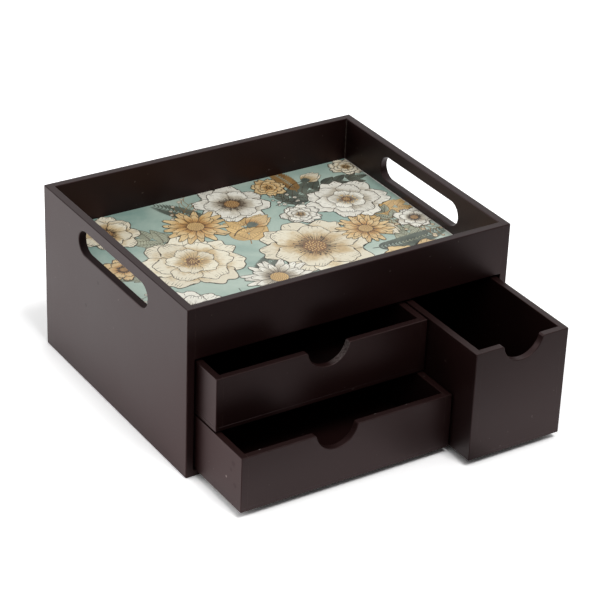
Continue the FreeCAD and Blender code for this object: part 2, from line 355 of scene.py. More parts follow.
class Paint:
    """Sprayed satin paint on one board. Each method lays one kind of mark over what is there."""

    def __init__(self, name, seed):
        self.s = Shader(name)
        place = self.s.place()
        apart = (seed, 0.37 * seed, -0.21 * seed)
        self.shift = self.s.node("Mapping", Vector=place, Location=apart).outputs[0]
        self.parts = self.s.coordinates()
        self.grain = self.noise(GRAIN)

    def noise(self, kind):
        return self.s.noise(*kind, self.shift)

    def times(self, first, second):
        return self.s.math("MULTIPLY", first, second)

    def near_plane(self, axis, value, half):
        """1 on a thin line along a plane, fading out on both sides."""
        away = self.s.math("ABSOLUTE", self.s.math("SUBTRACT", self.parts[axis], value))
        return self.s.remap(away, half, LINE_CORE * half)

    def near_point(self, x, y, z, radius):
        """1 at a point, in millimetres, fading to 0 at the radius."""
        away = self.s.away_from((x * MM, y * MM, z * MM))
        return self.s.remap(away, radius * MM, SPOT_CORE * radius * MM)

    def cover(self, mask, share, colour):
        """Lays a colour over the paint where the mask is 1, as far as its share says."""
        self.colour = self.s.mix(self.times(mask, share), self.colour, colour)

    def roughen(self, mask, amount):
        self.rough = self.s.math("ADD", self.rough, self.times(mask, amount))

    def dull(self, mask, roughness):
        """At least this rough where the mask is 1."""
        self.rough = self.s.math("MAXIMUM", self.rough, self.times(mask, roughness))

    def spray(self, roughness):
        """The coat itself: faint clouds in colour and gloss, and dust specks."""
        s = self.s
        clouds = self.noise(CLOUDS)
        dark = tuple(CLOUD_DARK * c for c in PAINT_BASE)
        light = tuple(CLOUD_LIGHT * c for c in PAINT_BASE)
        self.colour = s.mix(s.remap(clouds, *SPREAD), dark, light)
        self.cover(s.remap(self.noise(SPECKS), *SPECK_FADE), SPECK_SHARE, SPECK_COLOUR)
        cloudy = s.remap(clouds, *GLOSS_SPREAD, roughness - CLOUD_GLOSS, roughness + CLOUD_GLOSS)
        fine = s.remap(self.noise(FINE), *SPREAD, -FINE_GLOSS, FINE_GLOSS)
        self.rough = s.math("ADD", cloudy, fine)

    def wear_joints(self, joints, base_show):
        """Rubs the arrises paler, except on the joints, and draws the joints as dark, broken lines."""
        s = self.s
        seam = 0.0
        for axis, value in joints:
            show = base_show if axis == 2 else FILLED_JOINTS
            seam = s.math("MAXIMUM", seam, self.times(self.near_plane(axis, value, JOINT_HALF), show))
        worn = self.times(s.edge_mask(RUBBED_REACH), s.remap(self.noise(RUBBED), *RUBBED_FADE))
        worn = self.times(worn, s.math("SUBTRACT", 1.0, seam))
        self.cover(worn, RUBBED_SHARE, RUBBED_COLOUR)
        self.roughen(worn, RUBBED_ROUGH)
        self.seam = self.times(seam, s.remap(self.noise(JOINT_BREAKS), *JOINT_FADE))
        self.cover(self.seam, JOINT_SHARE, DARK_JOINT_AND_ARRIS_SHADE)

    def shade_and_dull_slot_cut(self):
        """The cut faces of the hand slot are painted darker, as shade in the recess, and are duller, as they
        took less paint.
        """
        s = self.s
        cut = s.math("LESS_THAN", s.math("ABSOLUTE", s.facing("X")), 0.5)
        cut = self.times(cut, s.math("LESS_THAN", self.parts["Z"], SLOT_ZONE_TOP))
        cut = self.times(cut, s.math("LESS_THAN", s.math("ABSOLUTE", self.parts["Y"]), SLOT_ZONE_HALF))
        # Painted shade: the slot's cut faces are coloured darker.
        self.cover(cut, SLOT_SHADE_SHARE, SLOT_SHADE_COLOUR)
        self.dull(cut, CUT_ROUGHNESS)

    def dull_underside(self):
        self.dull(self.s.math("LESS_THAN", self.s.facing("Z"), -0.5), UNDERSIDE_ROUGHNESS)

    def stain(self, x, y, z, radius):
        spot = self.times(self.near_point(x, y, z, radius), self.s.remap(self.grain, *STAIN_FADE))
        self.cover(spot, STAIN_SHARE, STAIN_COLOUR)
        self.roughen(spot, STAIN_ROUGH)

    def paint_arris_shade(self, one, other):
        """A dark line of painted shade along the arris where two planes meet, each an axis and a place on it.
        """
        line = self.times(*(self.near_plane(axis, value * MM, ARRIS_HALF) for axis, value in (one, other)))
        line = self.times(line, self.s.remap(self.noise(ARRIS_BREAKS), *ARRIS_FADE))
        self.cover(line, 1.0, DARK_JOINT_AND_ARRIS_SHADE)
        self.roughen(line, ARRIS_ROUGH)

    def bare_lip(self, x, z, radius):
        """Grainy bare board on the right half of a round notch with its centre at x, z."""
        s = self.s
        across = s.math("SUBTRACT", self.parts["X"], x * MM)
        upwards = s.math("SUBTRACT", self.parts["Z"], z * MM)
        away = s.math("SQRT", s.math("ADD", s.math("POWER", across, 2.0), s.math("POWER", upwards, 2.0)))
        bare = self.times(s.remap(away, (radius + LIP_OUTER) * MM, (radius + LIP_INNER) * MM),
                          s.remap(across, LIP_START, LIP_FULL))
        bare = self.times(bare, s.remap(self.grain, *LIP_FADE))
        self.cover(bare, 1.0, LIP_COLOUR)
        self.roughen(bare, LIP_ROUGH)

    def chip(self, x, y, z, radius):
        self.cover(self.near_point(x, y, z, radius), CHIP_SHARE, CHIP_COLOUR)

    def finish(self):
        """Adds the long waves, the joints' grooves and the orange peel."""
        s = self.s
        height = s.math("SUBTRACT", self.noise(WAVES), self.times(self.seam, JOINT_DEPTH))
        normal = s.bump(height, WAVE_STRENGTH, WAVE_DEPTH)
        normal = s.bump(self.noise(PEEL), PEEL_STRENGTH, PEEL_DEPTH, normal)
        return s.principled(Base_Color=self.colour, Roughness=self.rough, Normal=normal, IOR=PAINT_IOR,
                            Specular_Tint=PAINT_TINT)


def paint(name, seed, joints=(), base_show=FILLED_JOINTS, roughness=PAINT_ROUGHNESS, marks=()):
    """The paint of one board with its joint lines and its own marks of wear and painted shade."""
    board = Paint(name, seed)
    board.spray(roughness)
    board.wear_joints(joints, base_show)
    for mark, *values in marks:
        mark(board, *values)
    return board.finish()


def board_joints():
    """Where each painted board meets its neighbours flush, as (axis, place)."""
    joints = {}
    low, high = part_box("front_rail")
    for board in ("left_side_panel", "right_side_panel", "front_rail", "back_panel"):
        joints[board] = [(0, low.x), (0, high.x)]
    for drawer in ("upper_drawer", "lower_drawer", "tall_drawer"):
        low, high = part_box(drawer + "_front")
        upright = [(0, low.x), (0, high.x)]
        base_top = [(2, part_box(drawer + "_base")[1].z)]
        for board in ("_front", "_back", "_left_side", "_right_side"):
            joints[drawer + board] = upright + base_top
        joints[drawer + "_base"] = base_top
    return joints


# Eased arrises. The boards' meshes stay as they are: marks on their edges steer the modifiers.

EASED_ARRIS = 0.35 * MM
EASED_STEPS = 3
SHORTEST_ARRIS = 0.8 * MM
ARRIS_ANGLE = math.radians(35)
ON_JOINT = 0.02 * MM
SAME_PLACE = 0.002 * MM
SAME_POINT = 0.001 * MM
LARGE_FACES_LEAD = 100


def edge_key(edge):
    """The places of an edge's ends, the same for all edges that lie there."""
    return frozenset(tuple(round(c / SAME_PLACE) for c in vert.co) for vert in edge.verts)


def is_filled(edge, joints, board_ends, open_base):
    """True on the line of a flush joint that is filled, so that no arris is left there."""
    one, two = (vert.co for vert in edge.verts)
    upright = abs(one.z - two.z) > abs(one.x - two.x) + abs(one.y - two.y)
    for axis, value in joints:
        on_joint = max(abs(one[axis] - value), abs(two[axis] - value)) < ON_JOINT
        if on_joint and (not open_base if axis == 2 else board_ends or upright):
            return True
    return False


def ease_arrises(node, joints, open_base):
    """Rounds the long arrises of a board a little. Brad holes and filled joints stay as they are."""
    board_ends = node.name.endswith(("_front", "_back", "front_rail", "back_panel"))
    skin = bmesh.new()
    skin.from_mesh(node.data)
    bmesh.ops.remove_doubles(skin, verts=skin.verts, dist=SAME_POINT)
    eased, sharp = set(), set()
    for edge in skin.edges:
        if len(edge.link_faces) == 2 and edge.calc_face_angle() > ARRIS_ANGLE:
            long = edge.calc_length() > SHORTEST_ARRIS
            free = long and not is_filled(edge, joints, board_ends, open_base)
            (eased if free else sharp).add(edge_key(edge))
    skin.free()
    split = bmesh.new()
    split.from_mesh(node.data)
    split.edges.ensure_lookup_table()
    keys = [edge_key(edge) for edge in split.edges]
    split.free()
    attributes = node.data.attributes
    weight = attributes.new("bevel_weight_edge", "FLOAT", "EDGE")
    weight.data.foreach_set("value", [float(key in eased) for key in keys])
    mark = attributes.get("sharp_edge") or attributes.new("sharp_edge", "BOOLEAN", "EDGE")
    mark.data.foreach_set("value", [key in sharp for key in keys])
    node.modifiers.new("one_skin", "WELD").merge_threshold = SAME_POINT
    ease = node.modifiers.new("eased_arrises", "BEVEL")
    ease.width = EASED_ARRIS
    ease.segments = EASED_STEPS
    ease.limit_method = "WEIGHT"
    ease.use_clamp_overlap = False
    flat = node.modifiers.new("flat_faces", "WEIGHTED_NORMAL")
    flat.weight = LARGE_FACES_LEAD
    flat.keep_sharp = True


# Marks of wear, and painted shade in the hand slot and along the left rim's outer arris, where the photograph
# shows them, in millimetres

WEAR_AND_PAINTED_SHADE = {
    "bottom_panel": [(Paint.dull_underside,)],
    "upper_drawer_base": [(Paint.dull_underside,)],
    "lower_drawer_base": [(Paint.dull_underside,)],
    "tall_drawer_base": [(Paint.dull_underside,)],
    "left_side_panel": [
        # Painted shade in the hand slot.
        (Paint.shade_and_dull_slot_cut,),
        (Paint.stain, -150, 24.7, 103.8, 2.0),
        (Paint.stain, -150, 46.4, 72.8, 2.0),
        # Painted shade along the rim's outer top arris.
        (Paint.paint_arris_shade, (0, -150), (2, 150)),
    ],
    "upper_drawer_front": [(Paint.bare_lip, -41.4, 105.4, 18.9)],
    "lower_drawer_front": [
        (Paint.chip, -122.9, -183.2, 54.7, 0.9),
        (Paint.chip, -60.0, -189, 47, 0.6),
        (Paint.chip, -36.9, -184, 53, 0.9),
        (Paint.chip, -18.6, -183.4, 54.7, 0.7),
        (Paint.chip, 10.8, -183.4, 54.7, 0.7),
    ],
    "lower_drawer_left_side": [
        (Paint.stain, -141.5, -177, 44, 3.2),
        (Paint.stain, -141.5, -180, 26, 2.8),
        (Paint.stain, -141.5, -174, 37, 2.2),
        (Paint.chip, -141.5, -167, 27, 1.3),
    ],
    "tall_drawer_left_side": [(Paint.chip, 52.5, -128, 60, 0.6)],
}


def bright_steel():
    s = Shader("brad_steel")
    drawn = s.noise(700.0, 2.0)
    colour = s.ramp(drawn, [(0.3, (0.42, 0.42, 0.43)), (0.7, (0.60, 0.60, 0.61))])
    rough = s.remap(drawn, *SPREAD, 0.25, 0.40)
    return s.principled(Base_Color=colour, Metallic=1.0, Roughness=rough)


# Printed sheet on the tray floor. The pattern is drawn as thin layers of ink over the sheet.

SHEET_LOW, SHEET_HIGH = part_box("tray_print")
INK_STEP = 0.0015 * MM
INK_THICKNESS = 0.005 * MM
STACK_CELL = 5.0 * MM
PRINT_ROUGHNESS = 0.30
PRINT_IOR = 1.42
UNPRINTED_EDGE = 0.7 * MM
FIRST_LEVEL = 5
DISC_EYE = 0.04
GROUND_TEALS = [(0.30, (0.20, 0.32, 0.28)), (0.50, (0.39, 0.49, 0.42)), (0.70, (0.60, 0.67, 0.59))]
GROUND_GRAIN, GRAIN_SHARE = (0.62, 0.66, 0.58), 0.12
# The teal ground is painted paler in front as a sheen, and darker at the back.
SHEEN_PAINTED_IN_FRONT = (-0.10, 0.11, 0.10, -0.12)
PATCH_REACH = 0.22
LINE_WOBBLE = 0.8
VEIN_SHARE = 0.6
TONE_DEPTH = 0.28
PATCH_SHARE = 0.7
BARE_PAPER = (0.72, 0.70, 0.64)


def print_finish(s, colour):
    """Ink and paper share one coat of varnish."""
    normal = s.bump(s.noise(420.0, 2.0), 0.04, 0.05 * MM)
    return s.principled(Base_Color=colour, Roughness=PRINT_ROUGHNESS, Normal=normal, IOR=PRINT_IOR)


def ground_ink():
    """Soft teal wash, painted paler towards the front as a sheen and darker towards the back, with the bare
    paper showing along the right edge of the sheet.
    """
    s = Shader("ground_ink")
    place = s.coordinates()
    clouds = s.noise(7.0, 5.0, 0.6, distortion=0.8)
    colour = s.ramp(s.math("ADD", clouds, s.remap(place["Y"], *SHEEN_PAINTED_IN_FRONT)), GROUND_TEALS)
    grain = s.remap(s.noise(300.0, 3.0, 0.6), 0.2, 0.8, 0.0, GRAIN_SHARE)
    colour = s.mix(grain, colour, GROUND_GRAIN)
    bare = s.math("GREATER_THAN", place["X"], SHEET_HIGH.x - UNPRINTED_EDGE)
    return print_finish(s, s.mix(bare, colour, BARE_PAPER))


def petal_ink(name, base, middle, tip, vein, lines):
    """Colour runs from the foot to the tip of each petal, under fine drawn lines."""
    s = Shader(name)
    parts = s.node("SeparateXYZ", Vector=s.node("UVMap").outputs[0]).outputs
    along, across = parts["X"], parts["Y"]
    tone = s.node("Attribute", {"attribute_name": "tone"}).outputs["Fac"]
    patches = s.remap(s.noise(70.0, 4.0, 0.6), *SPREAD, -PATCH_REACH, PATCH_REACH)
    reach = s.math("ADD", along, patches)
    colour = s.ramp(reach, [(0.05, base), (0.42, middle), (0.72, tip)])
    wobble = s.remap(s.noise(160.0, 2.0), *SPREAD, -LINE_WOBBLE, LINE_WOBBLE)
    count = s.math("ADD", s.math("MULTIPLY", across, lines), wobble)
    stripe = s.remap(s.math("SINE", s.math("MULTIPLY", count, math.tau)), 0.55, 0.95)
    fade = s.remap(along, 0.95, 0.15)
    colour = s.mix(s.math("MULTIPLY", s.math("MULTIPLY", stripe, fade), VEIN_SHARE), colour, vein)
    colour = s.mix(s.remap(tone, 0.0, 1.0, TONE_DEPTH, 0.0), colour, tuple(0.7 * c for c in vein))
    return print_finish(s, colour)


def plain_ink(name, light, dark, scale):
    """One ink that is patchy, and lighter or darker from one patch of the drawing to the next."""
    s = Shader(name)
    tone = s.node("Attribute", {"attribute_name": "tone"}).outputs["Fac"]
    patches = s.remap(s.noise(scale, 4.0, 0.6), *SPREAD, 0.0, PATCH_SHARE)
    lightness = s.math("ADD", patches, s.math("MULTIPLY", tone, 1 - PATCH_SHARE))
    return print_finish(s, s.mix(lightness, dark, light))


def trim_and_thicken(mesh):
    """Cuts a flat figure off where the printing ends and closes it to a thin body."""
    drawn = bmesh.new()
    drawn.from_mesh(mesh)
    limits = ((SHEET_LOW.x, (-1, 0, 0)), (SHEET_HIGH.x - UNPRINTED_EDGE, (1, 0, 0)),
              (SHEET_LOW.y, (0, -1, 0)), (SHEET_HIGH.y, (0, 1, 0)))
    for value, outward in limits:
        point = [abs(c) * value for c in outward]
        everything = drawn.verts[:] + drawn.edges[:] + drawn.faces[:]
        bmesh.ops.bisect_plane(drawn, geom=everything, plane_co=point, plane_no=outward, clear_outer=True)
    grown = bmesh.ops.extrude_face_region(drawn, geom=drawn.faces[:], use_keep_orig=True)["geom"]
    for part in grown:
        if isinstance(part, bmesh.types.BMVert):
            part.co.z -= INK_THICKNESS
    bmesh.ops.recalc_face_normals(drawn, faces=drawn.faces)
    drawn.to_mesh(mesh)
    drawn.free()


class Motif:
    """One drawn figure: flat patches of ink at rising levels, cut off at the edges of the sheet."""

    stack = {}

    def __init__(self, name, x, y, turn):
        self.name = name
        self.origin = Vector((x, y)) * MM
        self.turn = math.radians(turn)
        self.random = random.Random(name)
        self.level = 0
        self.points, self.faces, self.uvs, self.tones, self.inks = [], [], [], [], []

    def grid(self, rows, ink, tone=0.5):
        """Rows of (x, y, along, across), in millimetres, make one patch of ink at the present level."""
        first = len(self.points)
        cosine, sine = math.cos(self.turn), math.sin(self.turn)
        height = SHEET_HIGH.z + INK_STEP * (self.level + FIRST_LEVEL)
        for row in rows:
            for x, y, along, across in row:
                turned = Vector((x * cosine - y * sine, x * sine + y * cosine)) * MM + self.origin
                self.points.append((turned.x, turned.y, height))
                self.uvs.append((along, across))
                self.tones.append(tone)
        width = len(rows[0])
        patch, area = [], 0.0
        for i in range(len(rows) - 1):
            for j in range(width - 1):
                a = first + i * width + j
                face = (a, a + 1, a + width + 1, a + width)
                patch.append(face)
                for one, two in zip(face, face[1:] + face[:1]):
                    (x0, y0), (x1, y1) = self.points[one][:2], self.points[two][:2]
                    area += x0 * y1 - x1 * y0
        self.faces += patch if area > 0 else [face[::-1] for face in patch]
        self.inks += [ink] * len(patch)

    def lift(self, steps=1):
        self.level += steps

    def ribbon(self, path, widths, ink, tone=0.5):
        """A drawn line along points, in millimetres, with a width at each."""
        rows = []
        for i, (x, y) in enumerate(path):
            ahead = path[min(i + 1, len(path) - 1)]
            behind = path[max(i - 1, 0)]
            dx, dy = ahead[0] - behind[0], ahead[1] - behind[1]
            length = math.hypot(dx, dy) or 1.0
            nx, ny = -dy / length, dx / length
            half = widths[i] / 2
            share = i / (len(path) - 1)
            sides = ((-half, 0.0), (half, 1.0))
            rows.append([(x + nx * out, y + ny * out, share, across) for out, across in sides])
        self.grid(rows, ink, tone)

    def taper(self, path, thick, thin, ink, tone=0.5):
        last = len(path) - 1
        self.ribbon(path, [thick + (thin - thick) * i / last for i in range(last + 1)], ink, tone)

    def disc(self, x, y, radius, ink, tone=0.5, sides=12):
        turns = [math.tau * k / sides for k in range(sides + 1)]
        rows = []
        for ring in (DISC_EYE, 1.0):
            reach = radius * ring
            rows.append([(x + reach * math.cos(t), y + reach * math.sin(t), ring, t / math.tau)
                         for t in turns])
        self.grid(rows, ink, tone)

    def settle(self):
        """Lifts the whole figure until it lies on everything that was drawn under it before."""
        cells = {(round(x / STACK_CELL), round(y / STACK_CELL)) for x, y, z in self.points}
        base = max(Motif.stack.get(cell, 0) for cell in cells)
        self.points = [(x, y, z + INK_STEP * base) for x, y, z in self.points]
        for cell in cells:
            Motif.stack[cell] = base + self.level + 2

    def build(self, inks):
        """Makes the figure a thin closed piece that ends where the printing ends."""
        self.settle()
        mesh = bpy.data.meshes.new(self.name)
        mesh.from_pydata(self.points, [], self.faces)
        uv_layer = mesh.uv_layers.new(name="UVMap")
        for loop in mesh.loops:
            uv_layer.data[loop.index].uv = self.uvs[loop.vertex_index]
        tones = mesh.attributes.new("tone", "FLOAT", "POINT")
        tones.data.foreach_set("value", self.tones)
        names = sorted(set(self.inks))
        for name in names:
            mesh.materials.append(inks[name])
        for polygon, ink in zip(mesh.polygons, self.inks):
            polygon.material_index = names.index(ink)
        trim_and_thicken(mesh)
        piece = bpy.data.objects.new(self.name, mesh)
        scene.collection.objects.link(piece)
        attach(piece, "case")


# Figures of the print, in millimetres and radians

PETAL_FOOT = 0.14
PETAL_WIDEST = 0.72
PETAL_NARROWING = 0.16
PETAL_ROUND, PETAL_CORNER = 0.07, 0.24
PETAL_NOTCH = 0.25
LEAF_FOOT, LEAF_END = 0.03, 0.985


def petal_rows(angle, foot, length, width, bend, notch, ruffle, phase, steps=9, across=15):
    """A petal from its foot outwards. It widens, ends in a round, ruffled lip and may be notched."""
    rows = []
    for i in range(steps):
        t = i / (steps - 1)
        row = []
        widening = math.sin(math.pi / 2 * min(1.0, t / PETAL_WIDEST)) ** 0.9
        half = width * (PETAL_FOOT + (1 - PETAL_FOOT) * widening)
        half *= 1.0 - PETAL_NARROWING * max(0.0, (t - PETAL_WIDEST) / (1 - PETAL_WIDEST)) ** 2
        for j in range(across):
            s = -1 + 2 * j / (across - 1)
            lip = PETAL_ROUND * s * s + PETAL_CORNER * s ** 4 + notch * math.exp(-(s / PETAL_NOTCH) ** 2)
            wave = math.sin(phase + 5.0 * s) + 0.6 * math.sin(2 * phase + 11.0 * s)
            out = foot + length * (t - t ** 3 * lip + ruffle * t * t * wave)
            side = half * (s + 0.5 * ruffle * math.sin(phase + 9.0 * t))
            a = angle + bend * t
            x, y = out * math.cos(a) - side * math.sin(a), out * math.sin(a) + side * math.cos(a)
            row.append((x, y, t, j / (across - 1)))
        rows.append(row)
    return rows


def leaf_rows(x, y, angle, length, width, bend=0.0, steps=9, across=5):
    """A leaf from its foot to its tip, pointed at both ends."""
    rows = []
    for i in range(steps):
        t = i / (steps - 1)
        a = angle + bend * t
        half = width * (LEAF_FOOT + math.sin(math.pi * min(t ** 0.8, LEAF_END)) ** 0.9)
        row = []
        for j in range(across):
            s = -1 + 2 * j / (across - 1)
            row.append((x + length * t * math.cos(a) - half * s * math.sin(a),
                        y + length * t * math.sin(a) + half * s * math.cos(a), t, j / (across - 1)))
        rows.append(row)
    return rows


def between(rows, along, across):
    """The place on a patch at a share of its length and of its width."""
    i, j = along * (len(rows) - 1), across * (len(rows[0]) - 1)
    i0, j0 = min(int(i), len(rows) - 2), min(int(j), len(rows[0]) - 2)
    u, v = i - i0, j - j0
    corners = (rows[i0][j0], rows[i0][j0 + 1], rows[i0 + 1][j0], rows[i0 + 1][j0 + 1])
    shares = ((1 - u) * (1 - v), (1 - u) * v, u * (1 - v), u * v)
    return tuple(sum(share * corner[k] for share, corner in zip(shares, corners)) for k in (0, 1))


def outline(rows, motif, width, ink, tone=0.5):
    """A drawn line round a petal, thin at its foot."""
    one_side = [row[0][:2] for row in rows]
    other_side = [row[-1][:2] for row in rows[-2::-1]]
    path = one_side + [point[:2] for point in rows[-1][1:]] + other_side
    last = len(path) - 1
    swell = [math.sin(math.pi * k / last) * motif.random.uniform(0.5, 1.1) for k in range(last + 1)]
    motif.ribbon(path, [width * (0.35 + 0.65 * s) for s in swell], ink, tone)


def hatch(rows, motif, count, reach, ink, width):
    """Engraved strokes that run out from the foot of a petal and a few short ones in from its lip."""
    r = motif.random
    for k in range(count):
        across = (k + r.uniform(0.25, 0.75)) / count
        stop = reach * r.uniform(0.45, 1.15) * (1.0 - 0.35 * abs(2 * across - 1))
        path = [between(rows, 0.03 + (stop - 0.03) * q / 4, across) for q in range(5)]
        motif.taper(path, width, 0.12, ink, r.random())
        if r.random() < 0.55:
            start = r.uniform(0.93, 0.98)
            path = [between(rows, start - 0.05 * q * r.uniform(0.8, 1.2), across) for q in range(4)]
            motif.taper(path, 0.8 * width, 0.1, ink, r.random())


def petal_ring(motif, radius, ink, count, foot, length, width, notch, ruffle, turn, line, strokes, reach):
    """A ring of overlapping petals: every second one lies over its neighbours. Foot, length and width are
    shares of the flower's radius, line is the width of the drawn lines."""
    r = motif.random
    order = list(range(0, count, 2)) + list(range(1, count, 2))
    for k in order:
        angle = turn + math.tau * k / count + r.uniform(-0.07, 0.07)
        long, wide = length * radius * r.uniform(0.88, 1.06), width * radius * r.uniform(0.92, 1.10)
        bend, deep = r.uniform(-0.12, 0.12), notch * r.uniform(0.0, 1.6)
        rows = petal_rows(angle, foot * radius, long, wide, bend, deep, ruffle, r.uniform(0, math.tau))
        tone = r.uniform(0.2, 1.0)
        motif.grid(rows, ink, tone)
        motif.lift()
        hatch(rows, motif, strokes, reach, "line", 0.8 * line)
        motif.lift()
        outline(rows, motif, line, "line", tone)
        motif.lift()


def stamens(motif, count, inner, outer, ink, dot, dot_radius):
    """Threads round the middle of a flower, each with a dot at its end."""
    r = motif.random
    ends = []
    for k in range(count):
        a = math.tau * k / count + r.uniform(-0.1, 0.1)
        reach = inner + (outer - inner) * r.uniform(0.35, 1.0)
        lean = r.uniform(-0.15, 0.15)
        path = [(q * math.cos(a + lean * q / outer), q * math.sin(a + lean * q / outer))
                for q in (inner, (inner + reach) / 2, reach)]
        motif.taper(path, 0.25, 0.35, ink)
        motif.lift(0.7)
        ends.append(path[-1])
    motif.lift()
    for x, y in ends:
        motif.disc(x, y, dot_radius * r.uniform(0.7, 1.3), dot, r.random(), 8)
        motif.lift(0.7)
    motif.lift()


def stipple(motif, count, radius, dot_radius, ink):
    """Dots in a close spiral over a round eye."""
    golden_turn = math.pi * (3 - math.sqrt(5))
    for k in range(count):
        reach = radius * math.sqrt((k + 0.5) / count)
        motif.disc(reach * math.cos(k * golden_turn), reach * math.sin(k * golden_turn), dot_radius, ink,
                   motif.random.random(), 7)
    motif.lift()


def rose(motif, radius, ink):
    """An open rose: three rings of wide ruffled petals round a brown eye."""
    petal_ring(motif, radius, ink, count=7, foot=0.12, length=0.88, width=0.36,
               notch=0.08, ruffle=0.020, turn=0.2, line=0.95, strokes=12, reach=0.75)
    petal_ring(motif, radius, ink, count=6, foot=0.10, length=0.64, width=0.30,
               notch=0.08, ruffle=0.024, turn=0.7, line=0.80, strokes=10, reach=0.7)
    petal_ring(motif, radius, ink, count=5, foot=0.05, length=0.42, width=0.21,
               notch=0.06, ruffle=0.028, turn=0.1, line=0.65, strokes=8, reach=0.8)
    motif.disc(0, 0, 0.12 * radius, "brown", 0.4, 20)
    motif.lift()
    stamens(motif, 24, 0.05 * radius, 0.24 * radius, "line", "gold", 0.020 * radius)
    stipple(motif, 14, 0.08 * radius, 0.014 * radius, "gold")


def anemone(motif, radius, ink):
    """An anemone: two rings of large smooth petals, a crown of threads and a dark stippled eye."""
    petal_ring(motif, radius, ink, count=8, foot=0.14, length=0.86, width=0.33,
               notch=0.05, ruffle=0.016, turn=0.0, line=0.95, strokes=13, reach=0.65)
    petal_ring(motif, radius, ink, count=6, foot=0.12, length=0.66, width=0.29,
               notch=0.04, ruffle=0.018, turn=0.4, line=0.80, strokes=11, reach=0.6)
    motif.disc(0, 0, 0.20 * radius, "brown", 0.9, 24)
    motif.lift()
    stamens(motif, 34, 0.18 * radius, 0.36 * radius, "line", "line", 0.018 * radius)
    stipple(motif, 40, 0.18 * radius, 0.016 * radius, "gold")


def daisy(motif, radius, ink):
    """A daisy with two rings of narrow rays and a stippled golden eye."""
    petal_ring(motif, radius, ink, count=17, foot=0.18, length=0.82, width=0.12,
               notch=0.0, ruffle=0.012, turn=0.0, line=0.70, strokes=3, reach=0.8)
    petal_ring(motif, radius, ink, count=13, foot=0.18, length=0.56, width=0.11,
               notch=0.0, ruffle=0.012, turn=0.1, line=0.60, strokes=3, reach=0.8)
    motif.disc(0, 0, 0.24 * radius, "gold", 0.6, 24)
    motif.lift()
    stipple(motif, 60, 0.23 * radius, 0.017 * radius, "brown")


def bud(motif, stalk, size, ink):
    """A bud seen from the side: three closed petals in a pointed cup on a bent stalk."""
    path = [(stalk * q / 8, 0.14 * stalk * math.sin(math.pi * q / 8)) for q in range(9)]
    motif.taper(path, 1.0, 0.6, "line")
    motif.origin += Vector((stalk * math.cos(motif.turn), stalk * math.sin(motif.turn))) * MM
    for spread, share in ((0.42, 0.92), (-0.42, 0.92), (0.0, 1.0)):
        motif.lift()
        rows = petal_rows(spread, 0, size * share, 0.30 * size, -0.5 * spread, -0.12, 0.012, 1.0)
        motif.grid(rows, ink, motif.random.random())
        motif.lift()
        outline(rows, motif, 0.55, "line")
        hatch(rows, motif, 7, 0.8, "line", 0.45)
    motif.lift()
    for spread in (0.95, -0.95, 0.35, -0.35):
        rows = leaf_rows(0, 0, spread, 0.42 * size, 0.07 * size, -0.7 * spread)
        motif.grid(rows, "green", motif.random.random())
        motif.lift()
    motif.disc(0, 0, 0.10 * size, "green", 0.3, 12)


def leaf(motif, x, y, angle, length, width, ink, line, bend=0.0):
    """A pointed leaf with its rib and side veins."""
    rows = leaf_rows(x, y, angle, length, width, bend)
    motif.grid(rows, ink, motif.random.uniform(0.0, 1.0))
    motif.lift()
    for q in range(1, 8):
        for side in (0.06, 0.94):
            start, stop = between(rows, q / 9, 0.5), between(rows, q / 9 + 0.11, side)
            motif.taper([start, stop], 0.42, 0.15, line)
    motif.lift()
    motif.taper([between(rows, q / 8, 0.5) for q in range(9)], 0.65, 0.2, line)
    motif.lift()
    outline(rows, motif, 0.6, line)
    motif.lift()


def stalk_path(length, bend, steps):
    return [(length * i / steps, bend * length * (i / steps) ** 2) for i in range(steps + 1)]


def on_stalk(length, bend, share):
    """The place at a share of a bent stalk and the direction that the stalk has there."""
    return length * share, bend * length * share * share, math.atan(2 * bend * share)


def branch(motif, length, count, leaf_length, leaf_width, ink, line, bend):
    """A bent twig with leaves in pairs that get smaller towards its end."""
    motif.taper(stalk_path(length, bend, 12), 1.0, 0.4, line)
    for k in range(count):
        t = 0.12 + 0.85 * k / (count - 1)
        x, y, heading = on_stalk(length, bend, t)
        size = 1.0 - 0.45 * t
        for side in (-1, 1):
            swing = motif.random.uniform(0.7, 1.0) * side
            leaf(motif, x, y, heading + swing, leaf_length * size, leaf_width * size, ink, line, -0.25 * side)
    leaf(motif, *on_stalk(length, bend, 1.0), 0.6 * leaf_length, 0.6 * leaf_width, ink, line)
    motif.lift(2)


def fern(motif, length, pairs, reach, ink, bend):
    """A fern frond: fine leaflets on both sides of a curved stalk."""
    motif.taper(stalk_path(length, bend, 16), 0.9, 0.3, ink)
    for k in range(pairs):
        t = 0.08 + 0.90 * k / pairs
        x, y, heading = on_stalk(length, bend, t)
        size = reach * math.sin(math.pi * (0.18 + 0.80 * t)) ** 0.8
        for side in (-1, 1):
            rows = leaf_rows(x, y, heading + side * 1.0, size, 0.10 * size + 0.2, -0.3 * side, 6, 3)
            motif.lift(0.7)
            motif.grid(rows, ink, motif.random.random())
    motif.lift()


